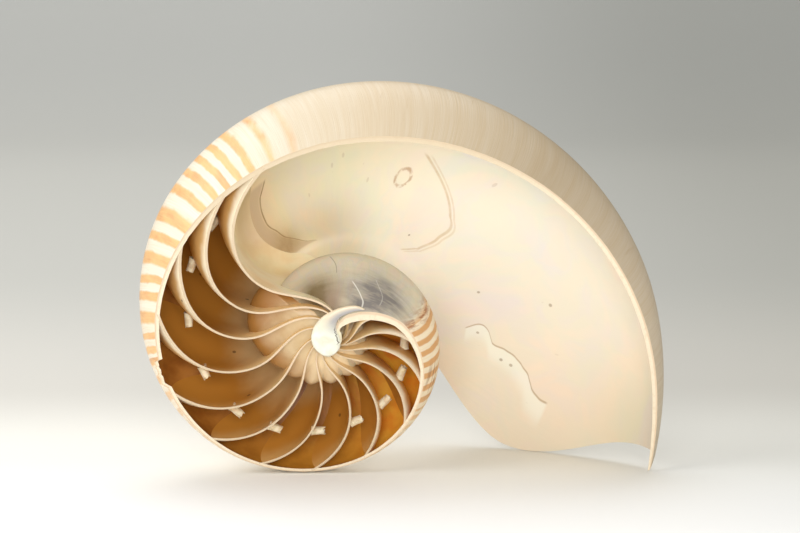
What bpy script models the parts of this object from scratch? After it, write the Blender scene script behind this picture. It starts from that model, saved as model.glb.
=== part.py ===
# Half of a chambered nautilus shell, sawn a little to one side of its middle plane.
# Metres, +Z up, the sawn face towards -Y. Origin: middle of the foot of the bounding box.
import bpy
import numpy as np

# Growth of the coil: the venter, its outer line, follows a slightly waved logarithmic spiral
venterRadius = 0.102
growthRate = 0.17864
waveCosine = 0.00716
waveSine = 0.00708
waveCosineTwo = 0.00011
waveSineTwo = 0.00477

# Cross section of the whorl, as shares of the venter radius
widestLevel = 0.33
halfBreadth = 0.36
roundness = 1.743
roundnessLoss = 0.35
roundnessStart = -0.4
flankShare = 0.7
seamShare = 0.26
seamMost = 0.185 * venterRadius
seamSlope = 0.45

# How the half stands: angle from the saw face to the middle plane, depth of the saw cut, and how far
# the whole half tips forward so that it balances on its coil and its lip. The centre is the coil's axis
leanAngle = np.radians(7.68)
tipAngle = np.radians(11.0)
sawDepth = 0.0779 * venterRadius
sawMargin = 0.0015
centreX = -0.022531
centreY = -0.010197
centreZ = 0.044296

# Wall, from the lip inwards. Angles are in degrees
wallThickness = 0.00115
venterThicker = 1.15
flankThinner = 0.35
lipAngle = -20.9
lipForward = -18.5
lipPeak = 58.0
lipNearSpread = 22.0
lipFarSpread = 32.0
lipHook = -5.9
lipHookSpread = 9.0
lipFade = 50.0
wallEnd = 425.0
wallRows = 40
ventralColumns = 9
funnelColumns = 3

# Solid middle, and the callus that closes the umbilicus as (radius, height) shares
coreStart = 410.0
coreRows = 20
coreColumns = 7
coreOutset = 0.6
coreAxisDepth = 0.055 * venterRadius
plugSides = 12
plugTilt = 0.2
plugTiltAngle = np.radians(100.0)
plugProfile = [
    (0.0, -0.16),
    (0.088, -0.16),
    (0.040, -0.072),
    (0.022, -0.03),
    (0.022, 0.03),
    (0.064, 0.08),
    (0.090, 0.125),
    (0.100, 0.155),
    (0.088, 0.180),
    (0.050, 0.198),
    (0.0, 0.205),
]

# Septa: angle of the deepest point in degrees, and how strongly each is dished
septumAngles = [140.9, 160.1, 179.2, 201.4, 222.1, 240.8, 262.8, 286.3, 307.4, 329.1, 351.1, 372.6, 399.0]
septumDish = [1.25, 1.45, 1.33, 1.15, 0.83, 0.73, 0.79, 0.90, 0.83, 0.73, 0.69, 0.68, 1.20]
septumThickness = 0.0009
hubThin = 0.35
hubReach = 0.12 * venterRadius
septumNearEnd = -0.98
septumFarEnd = 0.87
rimCrowding = 1.4
septumTuck = 0.65
septumColumns = 9
septumRows = 3
rimTerm = 0.100
rimPower = 4.313
rimShift = 0.300
hubTerm = 12.96
hubLevel = 0.505
hubPower = 2.942
sideTerm = 1.137
sidePower = 1.030
risePower = 1.359
bowlTerm = 1.266
bowlLevel = 0.45
innerWhorl = 0.318
innerTuck = 0.80

# Short necks where the siphuncle passed through each septum
neckLevels = [0.749, 0.756, 0.740, 0.739, 0.740, 0.718, 0.697, 0.695, 0.703, 0.692, 0.676]
neckLengths = [0.0048, 0.0045, 0.0045, 0.0042, 0.0042, 0.0042, 0.0040, 0.0040, 0.0042, 0.0042, 0.0036]
neckRadius = 0.0014
neckRoot = 0.0018
neckFoot = 1.15
neckTaper = 0.9
neckSides = 5

# Working values: the step for slopes, the halvings that find the saw line, the size of the saw, shading
slopeStep = 1e-4
shortest = 1e-12
halvings = 30
sawReach = 6 * venterRadius
creaseAngle = np.radians(40.0)
baseColour = (0.80, 0.68, 0.52, 1.0)
roughness = 0.42


def growth(angle):
    """Venter radius in metres at a spiral angle in radians."""
    wave = waveCosine * np.cos(angle) + waveSine * np.sin(angle)
    wave = wave + waveCosineTwo * np.cos(2 * angle) + waveSineTwo * np.sin(2 * angle)
    return venterRadius * np.exp(-growthRate * angle + wave)


def section(angle, side):
    """Radius and depth of the whorl outline. side runs -1 (near umbilicus), 0 (venter), 1 (far umbilicus)."""
    radius = growth(angle)
    power = roundness - roundnessLoss * np.exp(roundnessStart - angle)
    turn = np.clip(np.abs(side) / flankShare, 0.0, 1.0) * np.pi / 2
    dip = np.clip((np.abs(side) - flankShare) / (1 - flankShare), 0.0, 1.0)
    rho = radius * (widestLevel + (1 - widestLevel) * np.clip(np.cos(turn), 0.0, 1.0) ** (2 / power))
    depth = radius * halfBreadth * np.sin(turn) ** (2 / power)
    seamDepth = np.minimum(seamShare * radius, seamMost)
    seamRadius = seamSlope * seamDepth
    funnelRho = widestLevel * radius + (seamRadius - widestLevel * radius) * dip
    funnelDepth = seamDepth + (halfBreadth * radius - seamDepth) * (1 + np.cos(np.pi * dip)) / 2
    rho = np.where(dip > 0, funnelRho, rho)
    depth = np.where(dip > 0, funnelDepth, depth)
    return rho, np.sign(side) * depth


def place(angle, rho, depth):
    """World position of a point given by spiral angle, radius and depth across the coil."""
    across = rho * np.cos(angle)
    up = rho * np.sin(angle)
    behind = depth * np.cos(leanAngle) + up * np.sin(leanAngle)
    above = up * np.cos(leanAngle) - depth * np.sin(leanAngle)
    x = across + centreX
    y = behind * np.cos(tipAngle) - above * np.sin(tipAngle) + centreY
    z = above * np.cos(tipAngle) + behind * np.sin(tipAngle) + centreZ
    return np.stack([x, y, z], axis=-1)


def behindSaw(points):
    """Distance of world points behind the saw face."""
    back = (points[..., 1] - centreY) * np.cos(tipAngle) + (points[..., 2] - centreZ) * np.sin(tipAngle)
    return back + sawDepth


def shell(angle, side):
    rho, depth = section(angle, side)
    return place(angle, rho, depth)


def unit(vectors):
    return vectors / np.maximum(np.linalg.norm(vectors, axis=-1, keepdims=True), shortest)


def outward(surface, first, second):
    """Unit normals of a surface function by small steps in both of its parameters."""
    along = surface(first + slopeStep, second) - surface(first - slopeStep, second)
    over = surface(first, second + slopeStep) - surface(first, second - slopeStep)
    return unit(np.cross(over, along))


def addMesh(name, points, faces):
    mesh = bpy.data.meshes.new(name)
    mesh.from_pydata([tuple(point) for point in points.tolist()], [], faces)
    mesh.validate()
    mesh.update()
    mesh.shade_smooth()
    mesh.set_sharp_from_angle(angle=creaseAngle)
    item = bpy.data.objects.new(name, mesh)
    bpy.context.scene.collection.objects.link(item)
    return item


def sheetSolid(name, top, bottom):
    """Closed solid between two grids of the same shape. The top grid faces out."""
    rows, columns = top.shape[:2]
    count = rows * columns
    points = np.concatenate([top.reshape(count, 3), bottom.reshape(count, 3)])
    faces = []
    for row in range(rows - 1):
        for column in range(columns - 1):
            a = row * columns + column
            b = a + 1
            c = a + columns + 1
            d = a + columns
            faces.append((a, b, c))
            faces.append((a, c, d))
            faces.append((count + a, count + c, count + b))
            faces.append((count + a, count + d, count + c))
    ring = list(range(columns))
    ring += [row * columns + columns - 1 for row in range(1, rows)]
    ring += [(rows - 1) * columns + column for column in range(columns - 2, -1, -1)]
    ring += [row * columns for row in range(rows - 2, 0, -1)]
    for index, a in enumerate(ring):
        b = ring[(index + 1) % len(ring)]
        faces.append((a, count + a, count + b))
        faces.append((a, count + b, b))
    return addMesh(name, points, faces)


def closedRevolve(name, angles, profile, position):
    """Closed solid turned from a profile of (radius, height). Its first and last points lie on the axis."""
    count = len(angles)
    points = [position(0.0, 0.0, profile[0][1])]
    for radius, height in profile[1:-1]:
        for angle in angles:
            points.append(position(angle, radius, height))
    points.append(position(0.0, 0.0, profile[-1][1]))
    last = len(points) - 1
    bands = len(profile) - 2
    faces = []
    for index in range(count):
        after = (index + 1) % count
        faces.append((0, 1 + after, 1 + index))
        faces.append((last, 1 + (bands - 1) * count + index, 1 + (bands - 1) * count + after))
        for band in range(bands - 1):
            a = 1 + band * count + index
            b = 1 + band * count + after
            c = b + count
            d = a + count
            faces.append((a, b, c))
            faces.append((a, c, d))
    return addMesh(name, np.array(points), faces)


def faceOutwards(item):
    """Turns the faces round if the closed mesh has a negative volume."""
    mesh = item.data
    mesh.calc_loop_triangles()
    corners = np.empty(len(mesh.vertices) * 3, np.float64)
    mesh.vertices.foreach_get("co", corners)
    corners = corners.reshape(-1, 3)
    triangles = np.empty(len(mesh.loop_triangles) * 3, np.int32)
    mesh.loop_triangles.foreach_get("vertices", triangles)
    volume = np.linalg.det(corners[triangles.reshape(-1, 3)]).sum()
    if volume < 0:
        mesh.flip_normals()
    return item


def wallAt(angle, side):
    """Wall thickness, greatest along the venter and less in the young whorls."""
    return wallThickness * np.sqrt(growth(angle) / venterRadius) * (venterThicker - flankThinner * np.abs(side))


def sawSide(angle):
    """Outline parameter where the outer surface passes just in front of the saw plane."""
    low = np.full(angle.shape, -flankShare)
    high = np.zeros(angle.shape)
    for _ in range(halvings):
        middle = (low + high) / 2
        ahead = behindSaw(shell(angle, middle)) + sawMargin < 0
        low = np.where(ahead, middle, low)
        high = np.where(ahead, high, middle)
    return low


def lipOffset(side):
    """How far the lip runs forward of the growth line, in degrees."""
    turn = 90 * side / flankShare
    spread = np.where(turn < lipPeak, lipNearSpread, lipFarSpread)
    forward = lipForward * np.exp(-(((turn - lipPeak) / spread) ** 2))
    hook = lipHook * (1 - np.exp(-((np.minimum(turn, 0.0) / lipHookSpread) ** 2)))
    return forward + hook


def evenBend(start, end, count):
    """Spiral angles in degrees between start and end, closer together where the coil is wide."""
    turn = np.radians(end - start)
    shares = np.linspace(0.0, 1.0, count)
    spread = 1 - np.exp(-growthRate * turn / 2)
    return start + np.degrees(-2 / growthRate * np.log(1 - shares * spread))


def makeWall():
    rowAngles = evenBend(lipAngle, wallEnd, wallRows)
    starts = sawSide(np.radians(rowAngles))
    shares = np.linspace(0.0, 1.0, ventralColumns + 1)
    ventral = starts[:, None] + (flankShare - starts[:, None]) * shares[None, :]
    funnel = np.linspace(flankShare, 1.0, funnelColumns + 1)[1:]
    funnel = np.repeat(funnel[None, :], wallRows, axis=0)
    sides = np.concatenate([ventral, funnel], axis=1)
    fade = np.exp(-(rowAngles - lipAngle) / lipFade)
    angles = np.radians(rowAngles[:, None] + fade[:, None] * lipOffset(sides))
    top = shell(angles, sides)
    normals = outward(shell, angles, sides)
    bottom = top - normals * wallAt(angles, sides)[..., None]
    return sheetSolid("wall", top, bottom)


def makeCore():
    """Solid inner whorls, a little proud of the wall where the two run together."""
    rowAngles = np.radians(evenBend(coreStart, coreStart + 360, coreRows + 1))[:-1]
    sides = np.linspace(-flankShare, flankShare, coreColumns)
    angles = np.repeat(rowAngles[:, None], len(sides), axis=1)
    sides = np.repeat(sides[None, :], coreRows, axis=0)
    rho, depth = section(angles, sides)
    outset = 1 + coreOutset * wallAt(angles, sides) / growth(angles)
    grid = place(angles, rho * outset, depth * outset)
    rows, columns = grid.shape[:2]
    near = place(0.0, 0.0, -coreAxisDepth)
    far = place(0.0, 0.0, coreAxisDepth)
    points = np.concatenate([grid.reshape(-1, 3), near[None, :], far[None, :]])
    nearIndex = rows * columns
    farIndex = nearIndex + 1
    faces = []
    for row in range(rows):
        after = (row + 1) % rows
        faces.append((nearIndex, row * columns, after * columns))
        faces.append((farIndex, after * columns + columns - 1, row * columns + columns - 1))
        for column in range(columns - 1):
            a = row * columns + column
            b = a + 1
            c = after * columns + column + 1
            d = after * columns + column
            faces.append((a, b, c))
            faces.append((a, c, d))
    return addMesh("core", points, faces)


def makePlug():
    """Callus turned about the axis, and tilted so that it is flush with the whorls all round."""
    angles = np.linspace(0.0, 2 * np.pi, plugSides + 1)[:-1]
    profile = [(radius * venterRadius, height * venterRadius) for radius, height in plugProfile]

    def position(angle, radius, height):
        return place(angle, radius, height * (1 + plugTilt * np.cos(angle - plugTiltAngle)))

    return closedRevolve("plug", angles, profile, position)


def septumOffset(index, level, depthShare):
    """Angle, in radians, by which a point of a septum lies forward of its deepest point."""
    rise = (np.clip(level - widestLevel, 0.0, None) / (1 - widestLevel)) ** risePower
    rise = rise + sideTerm * (np.abs(depthShare) / halfBreadth) ** sidePower
    rim = rimTerm * rise**rimPower / (level + rimShift)
    hub = hubTerm * np.clip(hubLevel - level, 0.0, None) ** hubPower
    bowl = bowlTerm * np.clip(level - bowlLevel, 0.0, None) ** 2
    return -septumDish[index] * (rim + hub + bowl)


def septumSurface(index):
    """Surface function of one septum: side runs across it, share from the inner whorl to the wall."""
    base = np.radians(septumAngles[index])
    radius = growth(base)

    def surface(side, share):
        rho, depth = section(base, side)
        rhoNext, depthNext = section(base, side + slopeStep)
        tangentRho = rhoNext - rho
        tangentDepth = depthNext - depth
        length = np.maximum(np.hypot(tangentRho, tangentDepth), shortest)
        inset = wallAt(base, side) * septumTuck
        outerRho = (rho - inset * tangentDepth / length) / radius
        outerDepth = (depth + inset * tangentRho / length) / radius
        innerRho = rho / radius * innerWhorl * innerTuck
        innerDepth = depth / radius * innerWhorl * innerTuck
        level = innerRho + (outerRho - innerRho) * share
        depthShare = innerDepth + (outerDepth - innerDepth) * share
        angle = base + septumOffset(index, level, depthShare)
        local = growth(angle)
        return place(angle, level * local, depthShare * local)

    return surface


def makeSeptum(index):
    surface = septumSurface(index)
    sides = np.linspace(septumNearEnd, septumFarEnd, septumColumns + 1)
    shares = 1 - (1 - np.linspace(0.0, 1.0, septumRows + 1)) ** rimCrowding
    sideGrid, shareGrid = np.meshgrid(sides, shares, indexing="ij")
    middle = surface(sideGrid, shareGrid)
    normals = outward(surface, sideGrid, shareGrid)
    fromAxis = np.hypot(middle[..., 0] - centreX, middle[..., 2] - centreZ)
    thin = np.clip(fromAxis / hubReach, hubThin, 1.0)
    thickness = septumThickness * np.sqrt(growth(np.radians(septumAngles[index])) / venterRadius) * thin
    top = middle + normals * thickness[..., None] / 2
    bottom = middle - normals * thickness[..., None] / 2
    return sheetSolid("septum" + str(index + 1), top, bottom)


def makeNeck(index):
    level = neckLevels[index]
    base = np.radians(septumAngles[index])
    angle = base + septumOffset(index, level, 0.0)
    foot = place(angle, level * growth(angle), 0.0)
    ahead = place(angle + slopeStep, level * growth(angle + slopeStep), 0.0)
    axis = unit(ahead - foot)
    outwardAxis = unit(place(angle, venterRadius, 0.0) - place(angle, 0.0, 0.0))
    across = unit(np.cross(axis, outwardAxis))
    up = np.cross(across, axis)
    length = neckLengths[index]
    profile = [
        (0.0, -neckRoot),
        (neckRadius * neckFoot, -neckRoot),
        (neckRadius * neckTaper, length),
        (0.0, length),
    ]

    def position(turn, radius, height):
        return foot + axis * height + (across * np.cos(turn) + up * np.sin(turn)) * radius

    angles = np.linspace(0.0, 2 * np.pi, neckSides + 1)[:-1]
    return closedRevolve("neck" + str(index + 1), angles, profile, position)


def makeSaw():
    bpy.ops.mesh.primitive_cube_add(size=1.0)
    saw = bpy.context.object
    saw.name = "saw"
    saw.scale = (sawReach, venterRadius, sawReach)
    saw.rotation_euler = (tipAngle, 0.0, 0.0)
    ahead = sawDepth + venterRadius / 2
    saw.location = (centreX, centreY - ahead * np.cos(tipAngle), centreZ - ahead * np.sin(tipAngle))
    bpy.context.view_layer.update()
    return saw


def hideHelper(item):
    item.hide_render = True
    item.display_type = "WIRE"


def shellMaterial():
    material = bpy.data.materials.new("shell_half")
    material.use_nodes = True
    shader = material.node_tree.nodes["Principled BSDF"]
    shader.inputs["Base Color"].default_value = baseColour
    shader.inputs["Roughness"].default_value = roughness
    return material


for item in list(bpy.data.objects):
    bpy.data.objects.remove(item, do_unlink=True)

wall = faceOutwards(makeWall())
pieces = [faceOutwards(makeCore()), faceOutwards(makePlug())]
pieces += [faceOutwards(makeSeptum(index)) for index in range(len(septumAngles))]
pieces += [faceOutwards(makeNeck(index)) for index in range(len(neckLevels))]
saw = makeSaw()

helpers = bpy.data.collections.new("helpers")
bpy.context.scene.collection.children.link(helpers)
for piece in pieces:
    bpy.context.scene.collection.objects.unlink(piece)
    helpers.objects.link(piece)
    hideHelper(piece)
hideHelper(saw)

wall.name = "shell_half"
fuse = wall.modifiers.new("fuse", "BOOLEAN")
fuse.operation = "UNION"
fuse.solver = "EXACT"
fuse.operand_type = "COLLECTION"
fuse.collection = helpers
fuse.use_self = True
trim = wall.modifiers.new("trim", "BOOLEAN")
trim.operation = "DIFFERENCE"
trim.solver = "EXACT"
trim.object = saw
wall.data.materials.append(shellMaterial())
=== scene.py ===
import bmesh
import bpy
import numpy as np
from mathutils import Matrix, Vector


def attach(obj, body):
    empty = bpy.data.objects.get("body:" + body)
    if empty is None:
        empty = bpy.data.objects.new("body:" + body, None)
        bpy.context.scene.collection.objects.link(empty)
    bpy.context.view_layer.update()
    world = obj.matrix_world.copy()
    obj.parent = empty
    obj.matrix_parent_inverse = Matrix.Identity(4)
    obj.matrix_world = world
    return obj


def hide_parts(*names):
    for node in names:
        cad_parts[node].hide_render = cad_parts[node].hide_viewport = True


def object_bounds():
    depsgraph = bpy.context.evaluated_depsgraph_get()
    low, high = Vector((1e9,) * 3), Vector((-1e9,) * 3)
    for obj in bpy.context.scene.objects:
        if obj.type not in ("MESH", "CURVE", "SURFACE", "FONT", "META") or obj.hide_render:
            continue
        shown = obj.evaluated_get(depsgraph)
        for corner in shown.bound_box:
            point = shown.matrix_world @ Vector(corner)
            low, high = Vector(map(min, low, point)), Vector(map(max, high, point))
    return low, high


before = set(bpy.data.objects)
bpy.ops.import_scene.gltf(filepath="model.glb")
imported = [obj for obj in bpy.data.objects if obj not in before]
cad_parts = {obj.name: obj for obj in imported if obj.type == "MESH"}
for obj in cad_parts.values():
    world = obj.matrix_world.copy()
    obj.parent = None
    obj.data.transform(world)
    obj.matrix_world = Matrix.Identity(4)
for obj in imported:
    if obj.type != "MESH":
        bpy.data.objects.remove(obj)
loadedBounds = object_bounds()
print("frame loaded")

# The coil, with the same values as the part: a waved logarithmic spiral and its whorl section
coil = {
    "radius": 0.102,
    "rate": 0.17864,
    "waves": (0.00716, 0.00708, 0.00011, 0.00477),
    "widest": 0.33,
    "halfBreadth": 0.36,
    "roundness": 1.743,
    "roundnessLoss": 0.35,
    "roundnessStart": -0.4,
    "flankShare": 0.7,
    "seamShare": 0.26,
    "seamMost": 0.185 * 0.102,
    "seamSlope": 0.45,
    "closeRate": 0.0078,
    "closeFrom": 374.0,
    "closeLeast": 0.02,
    "lateFrom": 415.0,
    "lateOver": 22.0,
    "lateLoss": 0.13,
}
stance = {
    "lean": np.radians(7.68),
    "tip": np.radians(11.0),
    "centre": np.array([-0.022531, -0.010197, 0.044296]),
    "sawDepth": 0.0779 * 0.102,
}
step = 1e-4
creaseAngle = 38.0


def growth(angle):
    cosOne, sinOne, cosTwo, sinTwo = coil["waves"]
    wave = cosOne * np.cos(angle) + sinOne * np.sin(angle)
    wave = wave + cosTwo * np.cos(2 * angle) + sinTwo * np.sin(2 * angle)
    return coil["radius"] * np.exp(-coil["rate"] * angle + wave)


def section(angle, side, filled=False):
    # side runs from -1 at the near umbilicus over 0 at the venter to 1 at the far umbilicus
    radius = growth(angle)
    widest = coil["widest"]
    flank = coil["flankShare"]
    breadth = coil["halfBreadth"]
    power = coil["roundness"] - coil["roundnessLoss"] * np.exp(coil["roundnessStart"] - angle)
    if filled:  # the near umbilicus of the young whorls is closed, so that flank reaches further in
        young = np.degrees(angle)
        closed = np.clip(widest - coil["closeRate"] * (young - coil["closeFrom"]), coil["closeLeast"], widest)
        widest = np.where(side < 0, closed, widest)
        late = np.clip((young - coil["lateFrom"]) / coil["lateOver"], 0, 1)
        breadth = breadth * np.where(side < 0, 1 - coil["lateLoss"] * late * late * (3 - 2 * late), 1)
    turn = np.clip(np.abs(side) / flank, 0.0, 1.0) * np.pi / 2
    dip = np.clip((np.abs(side) - flank) / (1 - flank), 0.0, 1.0)
    rho = radius * (widest + (1 - widest) * np.clip(np.cos(turn), 0.0, 1.0) ** (2 / power))
    depth = radius * breadth * np.sin(turn) ** (2 / power)
    seamDepth = np.minimum(coil["seamShare"] * radius, coil["seamMost"])
    seamRadius = coil["seamSlope"] * seamDepth
    funnelRho = widest * radius + (seamRadius - widest * radius) * dip
    funnelDepth = seamDepth + (coil["halfBreadth"] * radius - seamDepth) * (1 + np.cos(np.pi * dip)) / 2
    rho = np.where(dip > 0, funnelRho, rho)
    depth = np.where(dip > 0, funnelDepth, depth)
    return rho, np.sign(side) * depth


def place(angle, rho, depth):
    lean = stance["lean"]
    tip = stance["tip"]
    across = rho * np.cos(angle)
    up = rho * np.sin(angle)
    behind = depth * np.cos(lean) + up * np.sin(lean)
    above = up * np.cos(lean) - depth * np.sin(lean)
    turned = [across, behind * np.cos(tip) - above * np.sin(tip), above * np.cos(tip) + behind * np.sin(tip)]
    return np.stack(turned, axis=-1) + stance["centre"]


def behindSaw(points):
    back = points - stance["centre"]
    return back[..., 1] * np.cos(stance["tip"]) + back[..., 2] * np.sin(stance["tip"]) + stance["sawDepth"]


def shellPoint(angle, side):
    rho, depth = section(angle, side, filled=True)
    return place(angle, rho, depth)


def unit(vectors):
    return vectors / np.maximum(np.linalg.norm(vectors, axis=-1, keepdims=True), 1e-12)


def outward(surface, first, second):
    along = surface(first + step, second) - surface(first - step, second)
    over = surface(first, second + step) - surface(first, second - step)
    return unit(np.cross(over, along))


def evenBend(start, end, count):
    # angles in degrees, closer together where the coil is wide
    spread = 1 - np.exp(-coil["rate"] * np.radians(end - start) / 2)
    return start + np.degrees(-2 / coil["rate"] * np.log(1 - np.linspace(0, 1, count) * spread))


def hashNoise(x, y, seed):
    # smooth value noise in two directions, from -1 to 1
    x = np.asarray(x, float)
    y = np.asarray(y, float)
    xCell = np.floor(x)
    yCell = np.floor(y)
    xShare = x - xCell
    yShare = y - yCell
    xShare = xShare * xShare * (3 - 2 * xShare)
    yShare = yShare * yShare * (3 - 2 * yShare)

    def corner(i, j):
        mixed = np.sin((xCell + i) * 127.1 + (yCell + j) * 311.7 + seed * 74.7) * 43758.5453
        return (mixed - np.floor(mixed)) * 2 - 1

    low = corner(0, 0) + (corner(1, 0) - corner(0, 0)) * xShare
    high = corner(0, 1) + (corner(1, 1) - corner(0, 1)) * xShare
    return low + (high - low) * yShare


def gridFaces(rows, columns, start=0, flip=False, closedColumns=False):
    last = columns if closedColumns else columns - 1
    row, column = np.meshgrid(np.arange(rows - 1), np.arange(last), indexing="ij")
    after = (column + 1) % columns
    a = start + row * columns + column
    b = start + row * columns + after
    c = start + (row + 1) * columns + after
    d = start + (row + 1) * columns + column
    order = [a, d, c, b] if flip else [a, b, c, d]
    return np.stack([part.ravel() for part in order], axis=-1)


def addPiece(
    name, points, faces, materials, faceMaterial=None, growthMap=None, across=None, crease=creaseAngle
):
    # growthMap holds the spiral angle in degrees / 100 and the side; across runs over the sawn strip
    mesh = bpy.data.meshes.new(name)
    mesh.from_pydata(np.asarray(points).reshape(-1, 3).tolist(), [], [list(map(int, f)) for f in faces])
    if growthMap is not None:
        layer = mesh.uv_layers.new(name="growth")
        corners = np.empty(len(mesh.loops), np.int32)
        mesh.loops.foreach_get("vertex_index", corners)
        layer.data.foreach_set("uv", np.asarray(growthMap, np.float32)[corners].ravel())
    if across is not None:
        strip = mesh.attributes.new("across", "FLOAT", "POINT")
        strip.data.foreach_set("value", np.asarray(across, np.float32))
    for material in materials:
        mesh.materials.append(material)
    if faceMaterial is not None:
        mesh.polygons.foreach_set("material_index", np.asarray(faceMaterial, np.int32))
    mesh.update()
    mesh.shade_smooth()
    mesh.set_sharp_from_angle(angle=np.radians(crease))
    item = bpy.data.objects.new(name, mesh)
    bpy.context.scene.collection.objects.link(item)
    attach(item, "root")
    return item


def sawThrough(item, inset, sawnIndex):
    # cuts a closed piece at the saw plane and closes it with a sawn face
    tip = stance["tip"]
    normal = np.array([0.0, -np.cos(tip), -np.sin(tip)])
    origin = stance["centre"] + normal * (stance["sawDepth"] - inset)
    work = bmesh.new()
    work.from_mesh(item.data)
    geometry = work.verts[:] + work.edges[:] + work.faces[:]
    cut = bmesh.ops.bisect_plane(
        work, geom=geometry, dist=1e-7, plane_co=Vector(origin), plane_no=Vector(normal), clear_outer=True
    )
    rim = [part for part in cut["geom_cut"] if isinstance(part, bmesh.types.BMEdge) and part.is_boundary]
    layer = work.loops.layers.uv.active
    if rim:
        made = bmesh.ops.triangle_fill(
            work, use_beauty=True, use_dissolve=False, edges=rim, normal=Vector(normal)
        )
        for face in made["geom"]:
            if not isinstance(face, bmesh.types.BMFace):
                continue
            face.material_index = sawnIndex
            face.smooth = False
            if layer is None:
                continue
            for loop in face.loops:
                others = [other for other in loop.vert.link_loops if other.face.material_index != sawnIndex]
                if others:
                    loop[layer].uv = others[0][layer].uv
    work.normal_update()
    work.to_mesh(item.data)
    work.free()
    item.data.set_sharp_from_angle(angle=np.radians(creaseAngle))


def paint(red, green, blue):
    # screen colour from 0 to 255, as the linear colour that a socket takes
    channels = [part / 255 for part in (red, green, blue)]
    return (*[part / 12.92 if part <= 0.04045 else ((part + 0.055) / 1.055) ** 2.4 for part in channels], 1.0)


def painted(stops):
    return [(where, paint(*shade)) for where, shade in stops]


def link(value, socket):
    if isinstance(value, bpy.types.NodeSocket):
        socket.id_data.links.new(value, socket)
    else:
        socket.default_value = value


current = {}  # holds the node tree that is being built


def addNode(kind, inputs=None, **settings):
    made = current["tree"].nodes.new(kind)
    for key, value in settings.items():
        setattr(made, key, value)
    for key, value in (inputs or {}).items():
        link(value, made.inputs[key])
    return made


def calc(operation, *values, clamp=False):
    made = addNode("ShaderNodeMath", operation=operation, use_clamp=clamp)
    for index, value in enumerate(values):
        link(value, made.inputs[index])
    return made.outputs[0]


def times(*values, clamp=False):
    product = values[0]
    for value in values[1:-1]:
        product = calc("MULTIPLY", product, value)
    return calc("MULTIPLY", product, values[-1], clamp=clamp)


def scaled(value, factor, added):
    return calc("MULTIPLY_ADD", value, factor, added)


def swing(value, factor, added):
    # noise from 0 to 1 swings to both sides of the added value
    return scaled(calc("SUBTRACT", value, 0.5), factor, added)


def opposite(value):
    return calc("SUBTRACT", 1.0, value)


def fade(value, low, high):
    # 0 at low, 1 at high, smooth between
    inputs = {"Value": value, "From Min": low, "From Max": high}
    return addNode("ShaderNodeMapRange", inputs, interpolation_type="SMOOTHSTEP").outputs["Result"]


def waves(value, period, start=0.0):
    # even waves from 0 to 1
    turn = times(calc("SUBTRACT", value, start), 2 * np.pi / period)
    return scaled(calc("SINE", turn), 0.5, 0.5)


def blend(factor, first, second, kind="MIX"):
    # a colour of three parts is a screen colour
    made = addNode("ShaderNodeMix", data_type="RGBA", blend_type=kind)
    link(factor, made.inputs[0])
    for value, socket in ((first, made.inputs[6]), (second, made.inputs[7])):
        link(paint(*value) if isinstance(value, tuple) and len(value) == 3 else value, socket)
    return made.outputs[2]


def stain(skin, mask, strength, shade):
    return blend(times(mask, strength), skin, shade)


def ramp(value, stops, ease="LINEAR"):
    low = stops[0][0]
    reach = stops[-1][0] - low
    share = calc("DIVIDE", calc("SUBTRACT", value, low), reach)
    made = addNode("ShaderNodeValToRGB", {"Fac": share})
    made.color_ramp.interpolation = ease
    elements = made.color_ramp.elements
    while len(elements) < len(stops):
        elements.new(0.5)
    for element, (position, shade) in zip(elements, stops):
        element.position = (position - low) / reach
        element.color = shade if len(shade) == 4 else (*shade, 1.0)
    return made.outputs["Color"]


def objectPlace():
    return addNode("ShaderNodeTexCoord").outputs["Object"]


def cloud(vector, scale, detail=3.0, rough=0.5, distortion=0.0):
    inputs = {"Vector": vector, "Scale": scale, "Detail": detail, "Roughness": rough}
    return addNode("ShaderNodeTexNoise", {**inputs, "Distortion": distortion}).outputs["Fac"]


def shellField(along, over, layout):
    # coordinates for a texture along and over the shell; the layout holds both scales and a shift
    parts = {"X": times(along, layout[0]), "Y": times(over, layout[1]), "Z": layout[2]}
    return addNode("ShaderNodeCombineXYZ", parts).outputs[0]


def shellCloud(along, over, layout, detail, rough):
    return cloud(shellField(along, over, layout), 1.0, detail, rough)


def squareGap(angle, side, centre, spread):
    across = calc("DIVIDE", calc("SUBTRACT", angle, centre[0]), spread[0])
    over = calc("DIVIDE", calc("SUBTRACT", side, centre[1]), spread[1])
    return scaled(across, across, times(over, over))


def patch(angle, side, centre, spread):
    # soft spot on the shell: 1 in the middle, gone after about two spreads
    return calc("POWER", 2.718, times(squareGap(angle, side, centre, spread), -1.0))


def course(angle, side, stops, width, ends=0.015):
    # line over the shell through stops of (side, angle), its width in degrees
    # gives the mask of the line, the gap to it and the mask of its length
    first = stops[0][0]
    last = stops[-1][0]
    low = min(stop[1] for stop in stops) - 1
    high = max(stop[1] for stop in stops) + 1
    levels = [(where, ((value - low) / (high - low),) * 3) for where, value in stops]
    share = ramp(side, levels, "CARDINAL")
    gap = calc("SUBTRACT", angle, scaled(share, high - low, low))
    mask = opposite(fade(calc("ABSOLUTE", gap), width * 0.25, width))
    ending = opposite(fade(side, last - ends, last))
    inside = times(fade(side, first, first + ends), ending)
    return times(mask, inside), gap, inside


def newGroup(name, inputs, outputs):
    tree = bpy.data.node_groups.new(name, "ShaderNodeTree")
    current["tree"] = tree
    for title, kind, value in inputs:
        socket = tree.interface.new_socket(name=title, in_out="INPUT", socket_type=kind)
        if value is not None:
            socket.default_value = value
    for title, kind in outputs:
        tree.interface.new_socket(name=title, in_out="OUTPUT", socket_type=kind)
    return tree, tree.nodes.new("NodeGroupInput").outputs, tree.nodes.new("NodeGroupOutput").inputs


def useGroup(group, inputs=None):
    made = addNode("ShaderNodeGroup", node_tree=group)
    for key, value in (inputs or {}).items():
        link(value, made.inputs[key])
    return made.outputs


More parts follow.
